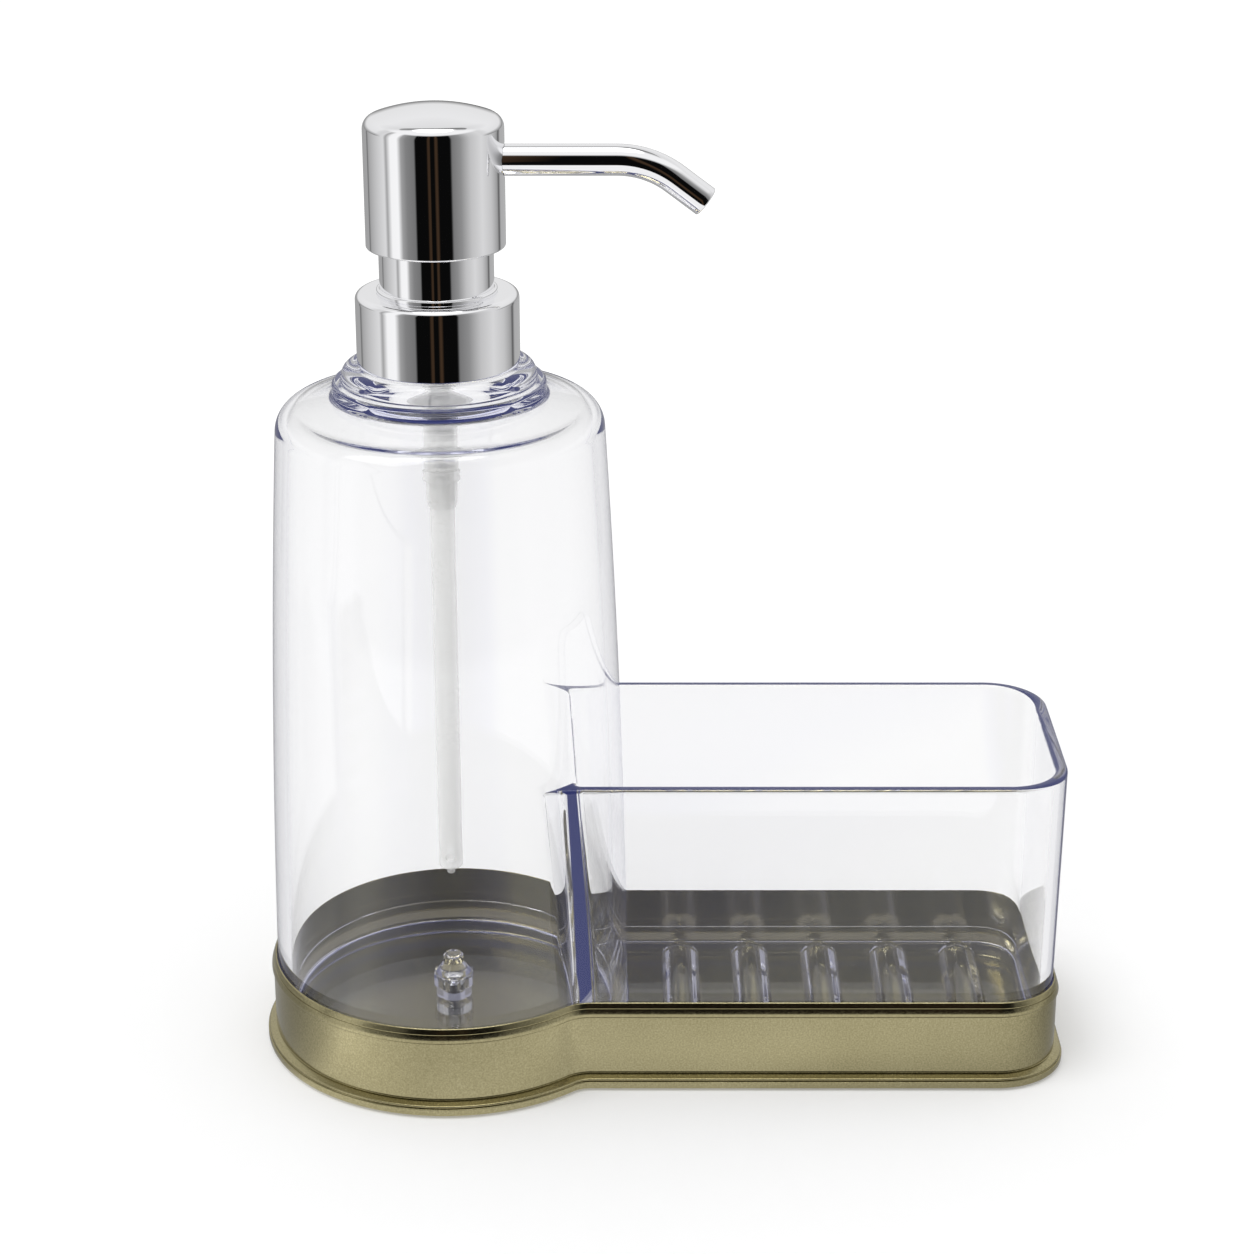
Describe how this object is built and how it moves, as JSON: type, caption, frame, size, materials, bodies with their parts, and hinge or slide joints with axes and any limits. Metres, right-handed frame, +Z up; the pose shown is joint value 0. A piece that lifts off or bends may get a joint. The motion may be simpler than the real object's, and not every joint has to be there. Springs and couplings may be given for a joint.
{
  "type": "soap pump caddy",
  "caption": "Clear bottle with a press pump, moulded in one with an open box for sponges and standing in a metal tray, for liquid soap by a sink.",
  "frame": {"origin": "on the bottle's axis, in the plane of the surface that the pad stands on", "axes": "+Z up along the bottle's and pump's axis, +X from the bottle towards the box, with the spout pointing along +X at rest"},
  "size_m": [0.1819, 0.086, 0.215],
  "materials": {
    "clear_plastic": "clear, polished",
    "tray_metal": "satin bronze lacquer",
    "chrome": "polished",
    "frosted_plastic": "natural, translucent",
    "white_plastic": "matte",
    "seal": "matte",
    "pad": "matte foam",
    "steel": "plain"
  },
  "bodies": {
    "base": {"clear_body": "clear_plastic", "reservoir_floor": "clear_plastic", "base_tray": "tray_metal", "base_screw": "steel", "screw_washer": "steel", "grip_pad": "pad"},
    "pump": {"pump_housing": "frosted_plastic", "neck_gasket": "seal", "stem_guide": "frosted_plastic", "inlet_seat": "frosted_plastic", "ball_cage": "frosted_plastic", "dip_tube": "frosted_plastic", "return_spring": "steel"},
    "collar": {"collar_shell": "chrome", "collar_liner": "white_plastic", "sleeve": "chrome"},
    "plunger": {"stem": "frosted_plastic", "piston": "seal"},
    "head": {"head_shell": "chrome", "actuator": "white_plastic", "spout": "chrome", "spout_liner": "white_plastic"},
    "inlet_valve": {"inlet_ball": "steel"},
    "outlet_valve": {"outlet_ball": "steel"}
  },
  "joints": [
    {"name": "pump_lift", "type": "slide", "parent": "base", "child": "pump", "axis": [0, 0, 1], "range_m": [0, 0.135]},
    {"name": "collar_turn", "type": "hinge", "parent": "pump", "child": "collar", "pos_m": [0, 0, 0.165], "axis": [0, 0, 1], "range_deg": [0, 450]},
    {"name": "press", "type": "slide", "parent": "pump", "child": "plunger", "axis": [0, 0, -1], "range_m": [0, 0.0093], "stiffness_N_per_m": 900, "springref_m": -0.003, "deforming": ["return_spring"]},
    {"name": "head_turn", "type": "hinge", "parent": "plunger", "child": "head", "pos_m": [0, 0, 0.2], "axis": [0, 0, 1], "continuous": true},
    {"name": "inlet_ball_lift", "type": "slide", "parent": "pump", "child": "inlet_valve", "axis": [0, 0, 1], "range_m": [0, 0.0012]},
    {"name": "outlet_ball_lift", "type": "slide", "parent": "plunger", "child": "outlet_valve", "axis": [0, 0, 1], "range_m": [0, 0.001]}
  ]
}
